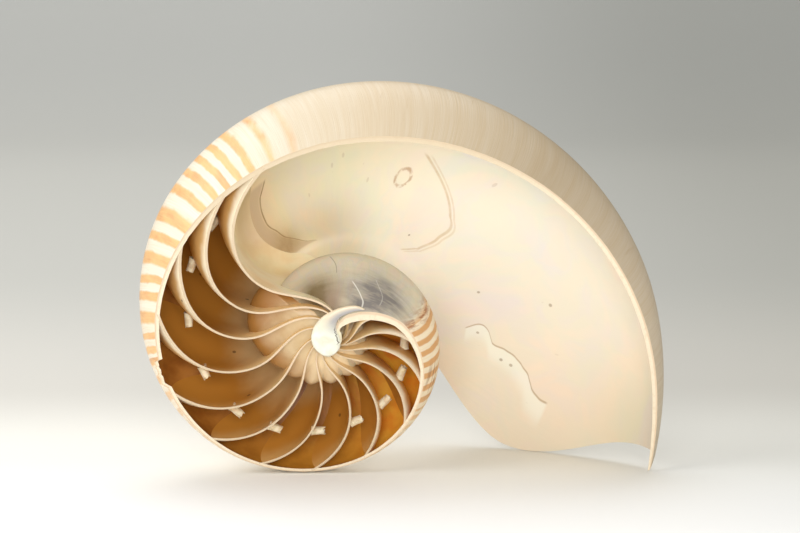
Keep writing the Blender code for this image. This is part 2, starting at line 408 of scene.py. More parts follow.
def newMaterial(name, specular=0.5):
    material = bpy.data.materials.new(name)
    material.use_nodes = True
    current["tree"] = material.node_tree
    shader = material.node_tree.nodes["Principled BSDF"]
    shader.inputs["Specular IOR Level"].default_value = specular
    return material, shader


def finishSkin(shader, skin, roughness, height, strength, distance):
    link(skin, shader.inputs["Base Color"])
    link(roughness, shader.inputs["Roughness"])
    bump = addNode("ShaderNodeBump", {"Height": height, "Strength": strength, "Distance": distance})
    link(bump.outputs[0], shader.inputs["Normal"])


numberSocket = "NodeSocketFloat"
vectorSocket = "NodeSocketVector"
colourSocket = "NodeSocketColor"
growthLine = {
    "bow": 6.7,  # degrees that a growth line bows back between venter and umbilicus
    "balance": 0.45,
    "venterRound": 0.0036,
    "youngFrom": 250.0,  # the bow doubles between these angles
    "youngTo": 335.0,
}


def makeShellPlace():
    # where a point lies: spiral angle, side, growth line, mm behind the saw face and from the axis
    outputs = [(title, numberSocket) for title in ("Angle", "Share", "Side", "Line", "Behind", "FromAxis")]
    tree, given, out = newGroup("shellPlace", [("Bow", numberSocket, growthLine["bow"])], outputs)
    mapped = addNode("ShaderNodeUVMap", uv_map="growth").outputs[0]
    split = addNode("ShaderNodeSeparateXYZ", {0: mapped}).outputs
    angle = times(split["X"], 100.0)
    side = split["Y"]
    young = fade(angle, growthLine["youngFrom"], growthLine["youngTo"])
    bow = times(given["Bow"], calc("ADD", 1.0, young))
    fromVenter = calc("SQRT", scaled(side, side, growthLine["venterRound"]))
    arc = calc("SINE", times(fromVenter, np.pi))
    link(angle, out["Angle"])
    link(split["X"], out["Share"])
    link(side, out["Side"])
    link(scaled(bow, calc("SUBTRACT", arc, growthLine["balance"]), angle), out["Line"])
    centre = {0: objectPlace(), 1: tuple(stance["centre"])}
    shifted = addNode("ShaderNodeVectorMath", centre, operation="SUBTRACT").outputs[0]
    facing = (0.0, float(np.cos(stance["tip"])), float(np.sin(stance["tip"])))
    depth = addNode("ShaderNodeVectorMath", {0: shifted, 1: facing}, operation="DOT_PRODUCT")
    behind = calc("ADD", depth.outputs["Value"], stance["sawDepth"])
    flat = addNode("ShaderNodeVectorMath", {0: shifted, 1: (1.0, 0.15, 1.0)}, operation="MULTIPLY")
    radius = addNode("ShaderNodeVectorMath", {0: flat.outputs[0]}, operation="LENGTH").outputs["Value"]
    link(times(behind, 1000.0), out["Behind"])
    link(times(radius, 1000.0), out["FromAxis"])
    return tree


def makeGrowthLines():
    # fine lines along the growing edge: a mask of light and dark, and a height for bump
    inputs = [("Line", numberSocket, 0.0), ("Side", numberSocket, 0.0), ("Density", numberSocket, 3.0)]
    tree, given, out = newGroup("growthLines", inputs, [("Lines", numberSocket), ("Height", numberSocket)])
    fine = shellCloud(given["Line"], given["Side"], (given["Density"], 5.0, 0.0), 2.0, 0.6)
    broad = shellCloud(given["Line"], given["Side"], (0.55, 2.2, 7.0), 3.0, 0.55)
    mixed = scaled(fine, 0.55, times(broad, 0.45))
    link(fade(mixed, 0.3, 0.7), out["Lines"])
    link(fine, out["Height"])
    return tree


def makeSpecks():
    # small round specks of uneven size
    inputs = [("Vector", vectorSocket, None), ("Scale", numberSocket, 400.0), ("Size", numberSocket, 0.2)]
    tree, given, out = newGroup("specks", inputs, [("Mask", numberSocket)])
    cells = addNode("ShaderNodeTexVoronoi", {"Vector": given["Vector"], "Scale": given["Scale"]})
    pick = addNode("ShaderNodeSeparateColor", {0: cells.outputs["Color"]}).outputs[0]
    size = times(given["Size"], fade(pick, 0.55, 1.0))
    link(fade(calc("SUBTRACT", size, cells.outputs["Distance"]), 0.0, 0.05), out["Mask"])
    return tree


pearlTints = [
    (0.30, (255, 240, 240)),
    (0.42, (255, 252, 232)),
    (0.50, (240, 252, 236)),
    (0.58, (236, 244, 252)),
    (0.68, (255, 244, 236)),
]


def makePearl():
    # drifting tints of mother-of-pearl, as a colour to multiply by
    inputs = [("Vector", vectorSocket, None), ("Scale", numberSocket, 20.0), ("Amount", numberSocket, 0.3)]
    tree, given, out = newGroup("pearl", inputs, [("Tint", colourSocket), ("Cloud", numberSocket)])
    drift = cloud(given["Vector"], given["Scale"], 3.0, 0.5, 0.6)
    tint = ramp(drift, painted(pearlTints), "EASE")
    link(blend(given["Amount"], (255, 255, 255), tint), out["Tint"])
    link(drift, out["Cloud"])
    return tree


shellPlace = makeShellPlace()
growthLines = makeGrowthLines()
specks = makeSpecks()
pearl = makePearl()

# Outer skin: cream and grey tan body, orange stripes on the older part, dark coat on the young whorl
outerLook = {
    "body": [
        (-40, (206, 190, 166)),
        (-22, (196, 180, 152)),
        (0, (202, 186, 161)),
        (38, (180, 163, 136)),
        (62, (198, 182, 156)),
        (80, (208, 192, 166)),
        (100, (216, 204, 182)),
        (118, (238, 229, 212)),
        (205, (238, 226, 205)),
        (300, (240, 224, 196)),
        (372, (236, 220, 190)),
        (392, (222, 206, 176)),
        (470, (206, 180, 146)),
        (520, (222, 196, 152)),
    ],
    "lineDensity": 4.5,
    "lineTint": (242, 232, 214),
    "wobble": 2.0,
    "orange": (229, 172, 96),
    "deepOrange": (204, 134, 64),
    "paleOrange": (246, 206, 146),
    "stripeFrom": 92.0,
    # growth lines, in degrees, in the middle of each white gap and of each stripe
    "whites": [98.5, 105.2, 112, 117.8, 122, 126.3, 131, 136.8]
    + [145.3, 151, 158.3, 163.5, 169.3, 177, 181.3, 186],
    "stripes": [102.3, 109, 115.8, 120, 124.3, 128.8, 134]
    + [142.1, 148, 154.6, 161, 166, 173, 178.9, 183.6],
    "faint": {102.3: 0.55, 109: 0.62, 115.8: 0.8},
    "period": 6.4,
    "youngPeriod": 7.3,
    "youngStart": 346.4,
    "youngOchre": (206, 146, 78),
    "coat": (116, 108, 100),
    "coatPale": (206, 197, 180),
    "olive": (112, 90, 44),
    "bare": (150, 122, 98),
    "scratches": [
        ([(-0.47, 407.0), (-0.40, 415.0), (-0.32, 430.0)], 1.1, 0.6, (236, 230, 216)),
        ([(-0.42, 396.0), (-0.34, 402.0), (-0.26, 413.0)], 0.7, 0.22, (236, 230, 216)),
        ([(-0.28, 444.0), (-0.18, 446.0), (-0.07, 450.0)], 0.5, 0.6, (112, 100, 84)),
    ],
    "rust": (150, 84, 40),
    "spots": (140, 92, 50),
    "scuff": (168, 140, 104),
    "bump": 0.5,
}


def makeOuterShell():
    look = outerLook
    material, shader = newMaterial("outerShell")
    spot = useGroup(shellPlace)
    angle = spot["Angle"]
    side = spot["Side"]
    wobble = shellCloud(angle, side, (0.12, 7.0, 0.0), 3.0, 0.6)
    wavy = swing(wobble, look["wobble"], spot["Line"])
    growing = {"Line": spot["Line"], "Side": side, "Density": look["lineDensity"]}
    lines = useGroup(growthLines, growing)
    body = ramp(angle, painted(look["body"]))
    body = blend(times(lines["Lines"], 0.7), body, look["lineTint"], "MULTIPLY")
    # stripes that the sawn half shows, then even ones round the rest
    stops = [(where, 0.0) for where in look["whites"]]
    stops += [(where, look["faint"].get(where, 1.0)) for where in look["stripes"]]
    stops = [(look["stripeFrom"], 0.0)] + sorted(stops)
    shown = ramp(wavy, [(where, (level,) * 3) for where, level in stops], "EASE")
    older = waves(wavy, look["period"])
    young = waves(wavy, look["youngPeriod"], look["youngStart"])
    cycle = blend(fade(wavy, 318.0, 322.0), older, young)
    level = blend(fade(wavy, 185.0, 187.0), shown, cycle)
    # on the far flank the stripes run on towards the mouth before they fade
    flank = fade(side, 0.12, 0.5)
    early = times(flank, opposite(fade(wavy, 94.0, 99.0)))
    level = blend(early, level, cycle)
    starts = fade(calc("SUBTRACT", wavy, scaled(flank, -58.0, 96.0)), -4.0, 14.0)
    uneven = shellCloud(angle, side, (0.35, 9.0, 3.0), 4.0, 0.6)
    stripe = fade(swing(uneven, 0.45, level), 0.3, 0.72)
    ends = opposite(fade(wavy, 372.0, 386.0))
    hidden = times(fade(angle, 186.0, 215.0), opposite(fade(angle, 300.0, 330.0)))
    strength = times(stripe, starts, ends, opposite(times(hidden, 0.5)))
    tone = blend(fade(uneven, 0.35, 0.75), look["orange"], look["deepOrange"])
    tone = stain(tone, lines["Lines"], 0.45, look["paleOrange"])
    tone = blend(fade(angle, 300.0, 330.0), tone, look["youngOchre"])
    skin = stain(body, strength, 0.86, tone)
    # dark coat laid on the young whorl inside the mouth
    field = shellField(angle, side, (0.05, 3.0, 0.0))
    drift = useGroup(pearl, {"Vector": field, "Scale": 2.2, "Amount": 0.8})
    onset = fade(scaled(uneven, 8.0, wavy), 378.0, 386.0)
    streak = shellCloud(spot["Line"], side, (0.035, 22.0, 9.0), 3.0, 0.6)
    dark = patch(angle, side, (405.0, -0.38), (27.0, 0.16))
    strong = scaled(fade(streak, 0.3, 0.7), 0.75, 0.7)
    paleCoat = blend(1.0, look["coatPale"], drift["Tint"], "MULTIPLY")
    skin = stain(skin, onset, 0.55, paleCoat)
    skin = blend(times(dark, strong, onset, clamp=True), skin, look["coat"])
    greenish = patch(angle, side, (466.0, -0.40), (25.0, 0.15))
    greenish = times(greenish, scaled(streak, 0.8, 0.75), clamp=True)
    skin = blend(greenish, skin, look["olive"])
    skin = stain(skin, patch(angle, side, (446.0, -0.47), (11.0, 0.10)), 0.8, look["bare"])
    for route, width, amount, shade in look["scratches"]:
        skin = stain(skin, course(angle, side, route, width)[0], amount, shade)
    # rust colour along the edge of the coat, brown spots beside it and scuffs all over
    border = patch(wavy, side, (377.0, -0.25), (4.5, 0.3))
    rusty = times(border, fade(uneven, 0.4, 0.6), 0.85, clamp=True)
    skin = blend(rusty, skin, look["rust"])
    brown = patch(angle, side, (338.0, -0.12), (7.0, 0.1))
    skin = blend(times(fade(streak, 0.5, 0.56), brown, clamp=True), skin, look["spots"])
    scuffs = shellCloud(angle, side, (0.5, 3.0, 1.0), 5.0, 0.65)
    skin = stain(skin, fade(scuffs, 0.62, 0.74), 0.35, look["scuff"])
    roughness = scaled(lines["Lines"], 0.16, 0.30)
    finishSkin(shader, skin, roughness, lines["Height"], look["bump"], 0.00025)
    return material


# Inner skin: mother-of-pearl in the body chamber, brown film on the walls of the closed chambers, with
# painted glow where light shines through the wall
nacreLook = {
    "open": [
        (-40, (230, 208, 188)),
        (-20, (241, 222, 206)),
        (0, (245, 228, 214)),
        (30, (250, 240, 230)),
        (60, (250, 240, 226)),
        (85, (244, 232, 208)),
        (110, (240, 222, 192)),
        (135, (226, 200, 158)),
    ],
    # brown film of the closed chambers; the bright orange from about 300 degrees on is painted glow of light
    # shining through the wall
    "closed": [
        (140, (196, 134, 60)),
        (170, (188, 126, 54)),
        (200, (182, 120, 50)),
        (222, (172, 112, 42)),
        (245, (164, 106, 36)),
        (275, (186, 128, 46)),
        (300, (232, 174, 60)),
        (330, (246, 188, 62)),
        (380, (236, 176, 70)),
        (440, (206, 150, 90)),
    ],
    # painted shade: the first two patches darken the crease where the last septum meets the wall and the
    # recess beside the young whorl; the third darkens the mouth low by the lip
    "paintedShadeAndLipTone": [
        ((92.0, 0.66), (20.0, 0.10), 0.45, (196, 172, 126)),
        ((75.0, 0.78), (20.0, 0.08), 0.4, (214, 180, 150)),
        ((-22.0, 0.12), (16.0, 0.2), 0.65, (196, 180, 150)),
    ],
    "behindScar": (196, 170, 136),
    "tanSpot": (160, 128, 80),
    "farLine": (146, 112, 64),
    "nearLine": (204, 172, 122),
    "ring": (190, 148, 104),
    "blisterPale": (246, 250, 236),
    "blisterRim": (176, 146, 104),
    "dot": (150, 122, 86),
    "film": (150, 136, 118),
    # painted glow of light shining through the wall
    "paintedGlow": (226, 160, 56),
    "speck": (150, 112, 74),
    "farScar": [
        (0.415, 114.0),
        (0.461, 119.3),
        (0.536, 123.3),
        (0.582, 122.0),
        (0.638, 117.3),
        (0.694, 106.7),
        (0.721, 98.7),
    ],
    "nearScar": [(0.396, 60.7), (0.526, 38.7), (0.591, 34.0), (0.647, 34.7), (0.662, 35.9), (0.712, 41.1)],
    "blister": [
        (0.380, -23.4),
        (0.404, -23.2),
        (0.424, -21.6),
        (0.437, -18.9),
        (0.455, -16.9),
        (0.473, -15.1),
        (0.497, -13.9),
        (0.528, -13.0),
        (0.538, -9.6),
        (0.552, -7.3),
        (0.574, -7.6),
        (0.600, -9.8),
    ],
    "dots": [(-10.5, 0.565), (-17.5, 0.501), (-18.0, 0.478), (44.0, 0.640), (6.0, 0.560), (2.0, 0.40)],
    "dotSize": (0.55, 0.0045),
    "ringPlace": (62.4, 0.493),
    "ringReach": (2.6, 0.030),
    "bump": 0.15,
}


def makeNacre():
    look = nacreLook
    material, shader = newMaterial("nacre")
    spot = useGroup(shellPlace)
    angle = spot["Angle"]
    side = spot["Side"]
    field = shellField(angle, side, (0.03, 3.0, 0.0))
    drift = useGroup(pearl, {"Vector": field, "Scale": 0.8, "Amount": 0.42})
    fineDrift = useGroup(pearl, {"Vector": field, "Scale": 3.0, "Amount": 0.2})
    body = ramp(angle, painted(look["open"]))
    # painted shade in the crease and recess beside the last septum, then a darker patch low by the lip
    for centre, spread, amount, shade in look["paintedShadeAndLipTone"]:
        body = stain(body, patch(angle, side, centre, spread), amount, shade)
    body = blend(1.0, body, drift["Tint"], "MULTIPLY")
    body = blend(1.0, body, fineDrift["Tint"], "MULTIPLY")
    # muscle scars: a thin dark line at the back and a pale double line nearer the mouth
    mottle = shellCloud(angle, side, (0.4, 30.0, 2.0), 3.0, 0.6)
    farLine, farGap, farInside = course(angle, side, look["farScar"], 0.55)
    body = stain(body, times(fade(farGap, 0.0, 1.2), farInside), 0.55, look["behindScar"])
    tanSpot = patch(angle, side, (121.0, 0.655), (10.0, 0.06))
    tanSpot = times(tanSpot, scaled(mottle, 0.5, 0.45), clamp=True)
    body = blend(tanSpot, body, look["tanSpot"])
    body = stain(body, farLine, scaled(mottle, 0.6, 0.4), look["farLine"])
    nearLine, nearGap, nearInside = course(angle, side, look["nearScar"], 1.0)
    beside = calc("ABSOLUTE", calc("ADD", nearGap, 1.9))
    pair = times(opposite(fade(beside, 0.2, 0.7)), nearInside)
    lines = calc("MAXIMUM", nearLine, times(pair, 0.6))
    lines = times(lines, scaled(mottle, 0.7, 0.25))
    body = stain(body, lines, 0.8, look["nearLine"])
    # a round blemish with a broken tan ring
    ringRadius = calc("SQRT", squareGap(angle, side, look["ringPlace"], look["ringReach"]))
    ringGap = calc("SUBTRACT", ringRadius, scaled(mottle, 0.5, 0.7))
    ring = opposite(fade(calc("ABSOLUTE", ringGap), 0.06, 0.28))
    body = stain(body, times(ring, fade(mottle, 0.36, 0.56)), 0.7, look["ring"])
    # blister near the mouth: a brown rim, paler inside, and dark dots
    rim, rimGap, rimInside = course(angle, side, look["blister"], 0.42, 0.008)
    below = times(fade(rimGap, 0.2, -0.6), fade(rimGap, -8.0, -2.5), rimInside)
    body = stain(body, below, 0.4, look["blisterPale"])
    body = stain(body, rim, 0.7, look["blisterRim"])
    for centre in look["dots"]:
        dot = fade(patch(angle, side, centre, look["dotSize"]), 0.3, 0.7)
        body = stain(body, dot, 0.6, look["dot"])
    # golden brown film in the chambers, with painted glow: the bright orange of the younger chambers and of
    # the near side stands for light shining through the wall
    closed = ramp(angle, painted(look["closed"]))
    film = shellCloud(angle, side, (0.1, 6.0, 5.0), 4.0, 0.55)
    closed = blend(fade(film, 0.3, 0.72), closed, look["film"], "OVERLAY")
    paintedGlow = times(opposite(fade(side, 0.15, 0.5)), fade(angle, 215.0, 260.0))
    closed = stain(closed, paintedGlow, 0.35, look["paintedGlow"])
    skin = blend(fade(angle, 137.0, 141.0), body, closed)
    field = shellField(angle, side, (0.02, 1.0, 0.0))
    dots = useGroup(specks, {"Vector": field, "Scale": 14.0, "Size": 0.16})
    skin = stain(skin, dots["Mask"], 0.2, look["speck"])
    ripple = useGroup(growthLines, {"Line": spot["Line"], "Side": side, "Density": 0.5})
    height = scaled(below, 1.5, ripple["Height"])
    height = scaled(calc("MAXIMUM", lines, farLine), -0.7, height)
    finishSkin(shader, skin, scaled(drift["Cloud"], 0.25, 0.22), height, look["bump"], 0.0004)
    return material


# Septa: cream near the saw face and the middle, golden brown deeper in, partly the brown film of the chambers
# and partly painted shade that darkens with depth behind the saw face
septumLook = {
    "edge": (248, 232, 200),
    "skirt": (242, 210, 152),
    "tan": (216, 168, 102),
    "deepFilmAndShade": (192, 130, 50),
    "speck": (92, 54, 24),
}


def makeSeptumSkin():
    look = septumLook
    material, shader = newMaterial("septumSkin")
    spot = useGroup(shellPlace)
    where = objectPlace()
    film = cloud(where, 90.0, 4.0, 0.55)
    drift = times(swing(film, 5.0, spot["Behind"]), scaled(spot["Share"], -0.5, 2.3))
    rightHand = addNode("ShaderNodeSeparateXYZ", {0: where}).outputs["X"]
    reach = times(spot["FromAxis"], scaled(fade(rightHand, -0.045, -0.005), 0.75, 0.8))
    inner = opposite(fade(scaled(film, 6.0, reach), 20.0, 32.0))
    # darker with depth behind the saw face: partly brown film, partly painted shade
    skin = blend(fade(drift, 0.5, 6.0), look["edge"], look["tan"])
    skin = blend(fade(drift, 5.0, 17.0), skin, look["deepFilmAndShade"])
    skin = blend(inner, skin, look["skirt"])
    dots = useGroup(specks, {"Vector": where, "Scale": 210.0, "Size": 0.17})
    skin = stain(skin, dots["Mask"], 0.7, look["speck"])
    finishSkin(shader, skin, scaled(film, 0.2, 0.24), film, 0.12, 0.0005)
    return material


# Front of the last septum: mother-of-pearl like the body chamber, tanner, with painted shade towards the
# crease at the wall
lastLook = {
    "pale": (251, 236, 206),
    "warm": (240, 214, 172),
    # painted shade of the crease at the outer wall
    "outer": (200, 168, 124),
    "front": (252, 238, 208),
}


def makeLastSeptum():
    look = lastLook
    material, shader = newMaterial("lastSeptum")
    spot = useGroup(shellPlace)
    where = objectPlace()
    film = cloud(where, 70.0, 4.0, 0.55, 0.4)
    drift = useGroup(pearl, {"Vector": where, "Scale": 40.0, "Amount": 0.4})
    skin = blend(fade(film, 0.35, 0.7), look["pale"], look["warm"])
    # painted shade: tanner towards the crease where the septum meets the outer wall
    outer = times(fade(spot["Share"], 0.6, 0.95), opposite(fade(spot["Side"], 0.35, 0.6)))
    skin = stain(skin, outer, 0.9, look["outer"])
    front = times(fade(spot["Behind"], 5.0, 0.0), fade(spot["Share"], 0.8, 0.5))
    skin = stain(skin, front, 0.6, look["front"])
    skin = blend(1.0, skin, drift["Tint"], "MULTIPLY")
    finishSkin(shader, skin, scaled(film, 0.2, 0.22), film, 0.2, 0.0006)
    return material


# Sawn shell: layered cream with a pinkish tan outer layer, duller along the top
sawnLook = {
    "cream": (236, 219, 190),
    "tan": (210, 180, 146),
    "grain": (206, 172, 128),
    "upper": (206, 186, 154),
    "bump": 0.5,
}


def makeSawnEdge():
    look = sawnLook
    material, shader = newMaterial("sawnEdge", 0.4)
    angle = useGroup(shellPlace)["Angle"]
    across = addNode("ShaderNodeAttribute", attribute_name="across").outputs["Fac"]
    where = objectPlace()
    grain = cloud(where, 900.0, 3.0, 0.6)
    patchy = cloud(where, 160.0, 3.0, 0.6)
    outer = opposite(fade(scaled(patchy, 0.3, across), 0.35, 0.6))
    skin = blend(times(outer, scaled(patchy, 0.6, 0.35)), look["cream"], look["tan"])
    skin = stain(skin, fade(grain, 0.5, 0.7), 0.25, look["grain"])
    upper = times(fade(angle, 18.0, 60.0), fade(angle, 160.0, 120.0))
    upper = times(upper, fade(angle, 1.2, 6.0))
    skin = stain(skin, upper, 0.75, look["upper"])
    finishSkin(shader, skin, 0.5, grain, look["bump"], 0.0002)
    return material


# Callus and necks: chalky white to cream
callusLook = {"white": (236, 228, 204), "shadow": (222, 206, 172), "scale": 120.0}
neckLook = {"white": (236, 222, 194), "shadow": (212, 182, 138), "scale": 500.0}


def makeChalk(name, look):
    material, shader = newMaterial(name)
    where = objectPlace()
    cloudy = cloud(where, look["scale"], 4.0, 0.6)
    drift = useGroup(pearl, {"Vector": where, "Scale": look["scale"], "Amount": 0.4})
    skin = blend(fade(cloudy, 0.35, 0.7), look["white"], look["shadow"])
    skin = blend(1.0, skin, drift["Tint"], "MULTIPLY")
    finishSkin(shader, skin, scaled(cloudy, 0.25, 0.3), cloudy, 0.3, 0.0003)
    return material


# Skirts: fading to golden brown on the left, cream up to the rim on the right; the golden brown towards the
# outer edge is partly painted shade running into the recess beyond
skirtLook = {
    "left": (214, 193, 154),
    "leftWarm": (204, 178, 134),
    "right": (248, 230, 192),
    "rim": (164, 116, 58),
}


def makeSkirtCream():
    look = skirtLook
    material, shader = newMaterial("skirtCream")
    spot = useGroup(shellPlace)
    cloudy = cloud(objectPlace(), 120.0, 4.0, 0.55, 0.3)
    out = fade(swing(cloudy, 0.35, spot["Share"]), 0.35, 0.9)
    skin = blend(fade(cloudy, 0.35, 0.7), look["left"], look["leftWarm"])
    skin = stain(skin, spot["Side"], 0.85, look["right"])
    # darker golden brown towards the outer edge, strongest on the left: partly painted shade of the recess
    # beyond the skirt, partly the golden brown of the chambers
    skin = stain(skin, out, opposite(times(spot["Side"], 0.75)), look["rim"])
    finishSkin(shader, skin, scaled(cloudy, 0.2, 0.26), cloudy, 0.2, 0.0004)
    return material


# Glossy callus: white on the round end, blue grey along the tail, a crack beside the ring of the young whorl
glossyLook = {
    "white": (238, 238, 222),
    "cream": (226, 222, 198),
    "tail": (226, 208, 178),
    "tailGrey": (176, 172, 170),
    "crack": (84, 74, 62),
}


def makeGlossyCallus():
    look = glossyLook
    material, shader = newMaterial("glossyCallus", 0.6)
    spot = useGroup(shellPlace)
    share = spot["Share"]
    side = spot["Side"]
    cloudy = cloud(objectPlace(), 260.0, 3.0, 0.5, 0.5)
    white = blend(fade(cloudy, 0.35, 0.7), look["white"], look["cream"])
    tail = blend(fade(side, 0.1, 0.75), look["tail"], look["tailGrey"])
    skin = blend(fade(swing(cloudy, 0.25, share), 0.42, 0.68), tail, white)
    wander = shellCloud(share, side, (30.0, 0.0, 0.0), 3.0, 0.6)
    crackGap = calc("SUBTRACT", side, swing(wander, 0.3, 0.90))
    reach = times(fade(share, 0.50, 0.56), fade(share, 0.80, 0.74))
    crack = times(fade(calc("ABSOLUTE", crackGap), 0.03, 0.008), reach)
    skin = blend(crack, skin, look["crack"])
    height = calc("SUBTRACT", times(cloudy, 0.5), crack)
    finishSkin(shader, skin, scaled(cloudy, 0.2, 0.14), height, 0.3, 0.0003)
    return material


outerShell = makeOuterShell()
glossyCallus = makeGlossyCallus()
skirtCream = makeSkirtCream()
nacre = makeNacre()
septumSkin = makeSeptumSkin()
lastSeptum = makeLastSeptum()
sawnEdge = makeSawnEdge()
callus = makeChalk("callusWhite", callusLook)
neckChalk = makeChalk("neckChalk", neckLook)
print("materials made")

# Wall: outer and inner skin, the sawn strip between them and the lip
wall = {
    "thickness": 0.00115,
    "venterThicker": 1.15,
    "flankThinner": 0.35,
    "lipAngle": -20.9,
    "end": 427.0,
    "rows": 540,
    "ventralColumns": 54,
    "funnelColumns": 14,
    "lipForward": -18.5,
    "lipPeak": 58.0,
    "lipSpread": (22.0, 32.0),
    "lipHook": -5.9,
    "hookSpread": 9.0,
    "lipFade": 50.0,
    "lipThin": 0.45,
    "lipThinReach": 14.0,
    "edgeInset": 0.00002,
    "chipAngles": (186.6, 197.2),
    "chipDepth": 0.0024,
    "chipRows": 34,
    "chipSteep": 2.6,
    "chipUneven": 0.14,
    "chipRate": 1.1,
    "nibble": 0.00008,
    "nibbleRates": (0.9, 0.31),
    "nibbleShare": 0.6,
    "nibbleLeast": 0.35,
    "stripColumns": 5,
    "stripRough": 0.00007,
    "stripRates": (2.3, 1.7),
    "stripStart": 3.0,
    "easeOver": 0.008,
    "thickFrom": 340.0,
    "thickTo": 400.0,
    "youngThicker": 1.3,
}


def lipOffset(side):
    turn = 90 * side / coil["flankShare"]
    spread = np.where(turn < wall["lipPeak"], *wall["lipSpread"])
    forward = wall["lipForward"] * np.exp(-(((turn - wall["lipPeak"]) / spread) ** 2))
    return forward + wall["lipHook"] * (1 - np.exp(-((np.minimum(turn, 0.0) / wall["hookSpread"]) ** 2)))


def wallAt(angle, side):
    thick = wall["thickness"] * np.sqrt(growth(angle) / coil["radius"])
    return thick * (wall["venterThicker"] - wall["flankThinner"] * np.abs(side))


def youngThick(angle):
    # the wall of the young whorl thickens towards the umbilicus
    share = np.clip((np.degrees(angle) - wall["thickFrom"]) / (wall["thickTo"] - wall["thickFrom"]), 0, 1)
    return 1 + wall["youngThicker"] * share


def wallAngle(rowAngle, side):
    lipShare = np.exp(-(rowAngle - wall["lipAngle"]) / wall["lipFade"])
    return np.radians(rowAngle + lipShare * lipOffset(side))


def outerSkin(rowAngle, side):
    return shellPoint(wallAngle(rowAngle, side), side)


def innerSkin(rowAngle, side):
    angle = wallAngle(rowAngle, side)
    fromLip = np.clip((rowAngle - wall["lipAngle"]) / wall["lipThinReach"], 0, 1)
    thin = wall["lipThin"] + (1 - wall["lipThin"]) * fromLip * (2 - fromLip)
    thick = wallAt(angle, side) * thin * youngThick(angle)
    return shellPoint(angle, side) - outward(shellPoint, angle, side) * thick[..., None]


def brokenEdge(rowAngles):
    # how far the sawn edge stands back: small nibbles all along and one piece broken out
    first, last = wall["chipAngles"]
    share = np.clip((rowAngles - first) / (last - first), 0, 1)
    uneven = wall["chipUneven"] * hashNoise(rowAngles * wall["chipRate"], 0, 3)
    bite = np.clip(np.sin(np.pi * share) * wall["chipSteep"], 0, 1) * (1 - wall["chipUneven"] + uneven)
    fine, broad = (hashNoise(rowAngles * rate, 0, seed) for rate, seed in zip(wall["nibbleRates"], (8, 2)))
    nibble = np.clip(fine * wall["nibbleShare"] + broad - wall["nibbleLeast"], 0, 1)
    return wall["chipDepth"] * bite + wall["nibble"] * nibble


def sawStart(skin, rowAngles):
    back = wall["edgeInset"] + brokenEdge(rowAngles)
    low = np.full(rowAngles.shape, -coil["flankShare"])
    high = np.full(rowAngles.shape, 0.05)
    for _ in range(36):
        middle = (low + high) / 2
        ahead = behindSaw(skin(rowAngles, middle)) < back
        low = np.where(ahead, middle, low)
        high = np.where(ahead, high, middle)
    return high


def skinGrid(skin, rowAngles):
    start = sawStart(skin, rowAngles)[:, None]
    shares = np.linspace(0, 1, wall["ventralColumns"] + 1)[None, :]
    ventral = start + (coil["flankShare"] - start) * shares
    funnel = np.linspace(coil["flankShare"], 1.0, wall["funnelColumns"] + 1)[1:]
    sides = np.concatenate([ventral, np.repeat(funnel[None, :], len(rowAngles), axis=0)], axis=1)
    rows = np.repeat(rowAngles[:, None], sides.shape[1], axis=1)
    return skin(rows, sides), np.degrees(wallAngle(rows, sides)), sides


def insideBox(points):
    # eases the smooth skin back to the box of the faceted part, which it would pass by part of a millimetre
    for axis in range(3):
        for sign, bound in ((-1, loadedBounds[0][axis]), (1, loadedBounds[1][axis])):
            values = points[:, axis] * sign
            start = bound * sign - wall["easeOver"]
            excess = values.max() - bound * sign
            if excess <= 0:
                continue
            share = np.clip((values - start) / (values.max() - start), 0, 1)
            points[:, axis] -= sign * excess * share * share
    return points


